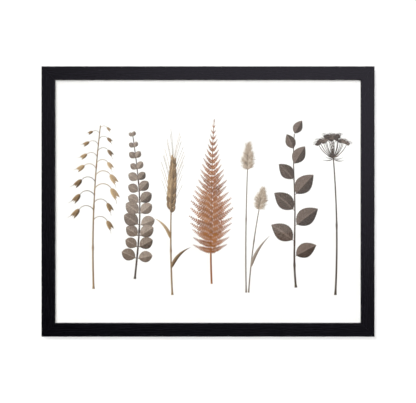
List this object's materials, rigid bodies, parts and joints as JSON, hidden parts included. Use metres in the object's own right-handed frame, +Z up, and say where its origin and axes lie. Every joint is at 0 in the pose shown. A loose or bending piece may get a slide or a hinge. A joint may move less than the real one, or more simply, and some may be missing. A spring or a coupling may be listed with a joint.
{
  "type": "framed print",
  "caption": "Landscape botanical print behind glass in a mitred black square wooden frame, its back held in by turn buttons, with a sawtooth hanger for a wall nail.",
  "frame": {"origin": "the middle notch of the sawtooth hanger, where the wall nail bears, on the wall plane that the four bumpers touch", "axes": "+Z up the wall, +X to the right seen from the front, +Y into the wall, so the picture faces -Y"},
  "size_m": [0.5396, 0.0235, 0.4381],
  "materials": {
    "black_wood": "satin",
    "picture_glass": "gloss",
    "art_paper": "matte",
    "foam_board": "matte",
    "hardboard": "matte",
    "zinc_steel": "satin",
    "bright_steel": "satin",
    "rubber": "matte"
  },
  "bodies": {
    "frame": {"rail_top": "black_wood", "rail_right": "black_wood", "rail_bottom": "black_wood", "rail_left": "black_wood", "corner_nail_top_left": "bright_steel", "corner_nail_top_right": "bright_steel", "corner_nail_bottom_left": "bright_steel", "corner_nail_bottom_right": "bright_steel", "glass": "picture_glass", "print": "art_paper", "foam_board": "foam_board", "back_board": "hardboard", "sawtooth_hanger": "zinc_steel", "hanger_pin_left": "bright_steel", "hanger_pin_right": "bright_steel", "button_screw_top_left": "bright_steel", "button_screw_top_right": "bright_steel", "button_screw_right_upper": "bright_steel", "button_screw_right_lower": "bright_steel", "button_screw_bottom_right": "bright_steel", "button_screw_bottom_left": "bright_steel", "button_screw_left_lower": "bright_steel", "button_screw_left_upper": "bright_steel", "bumper_top_left": "rubber", "bumper_top_right": "rubber", "bumper_bottom_right": "rubber", "bumper_bottom_left": "rubber"},
    "button_top_left": {"turn_button_top_left": "zinc_steel"},
    "button_top_right": {"turn_button_top_right": "zinc_steel"},
    "button_right_upper": {"turn_button_right_upper": "zinc_steel"},
    "button_right_lower": {"turn_button_right_lower": "zinc_steel"},
    "button_bottom_right": {"turn_button_bottom_right": "zinc_steel"},
    "button_bottom_left": {"turn_button_bottom_left": "zinc_steel"},
    "button_left_lower": {"turn_button_left_lower": "zinc_steel"},
    "button_left_upper": {"turn_button_left_upper": "zinc_steel"}
  },
  "joints": [
    {"name": "turn_top_left", "type": "hinge", "parent": "frame", "child": "button_top_left", "pos_m": [-0.12953, -0.0027, 0.0036], "axis": [0, 1, 0], "continuous": true},
    {"name": "turn_top_right", "type": "hinge", "parent": "frame", "child": "button_top_right", "pos_m": [0.12953, -0.0027, 0.0036], "axis": [0, 1, 0], "continuous": true},
    {"name": "turn_right_upper", "type": "hinge", "parent": "frame", "child": "button_right_upper", "pos_m": [0.26267, -0.0027, -0.10313], "axis": [0, 1, 0], "continuous": true},
    {"name": "turn_right_lower", "type": "hinge", "parent": "frame", "child": "button_right_lower", "pos_m": [0.26267, -0.0027, -0.31342], "axis": [0, 1, 0], "continuous": true},
    {"name": "turn_bottom_right", "type": "hinge", "parent": "frame", "child": "button_bottom_right", "pos_m": [0.12953, -0.0027, -0.42015], "axis": [0, 1, 0], "continuous": true},
    {"name": "turn_bottom_left", "type": "hinge", "parent": "frame", "child": "button_bottom_left", "pos_m": [-0.12953, -0.0027, -0.42015], "axis": [0, 1, 0], "continuous": true},
    {"name": "turn_left_lower", "type": "hinge", "parent": "frame", "child": "button_left_lower", "pos_m": [-0.26267, -0.0027, -0.31342], "axis": [0, 1, 0], "continuous": true},
    {"name": "turn_left_upper", "type": "hinge", "parent": "frame", "child": "button_left_upper", "pos_m": [-0.26267, -0.0027, -0.10313], "axis": [0, 1, 0], "continuous": true}
  ]
}
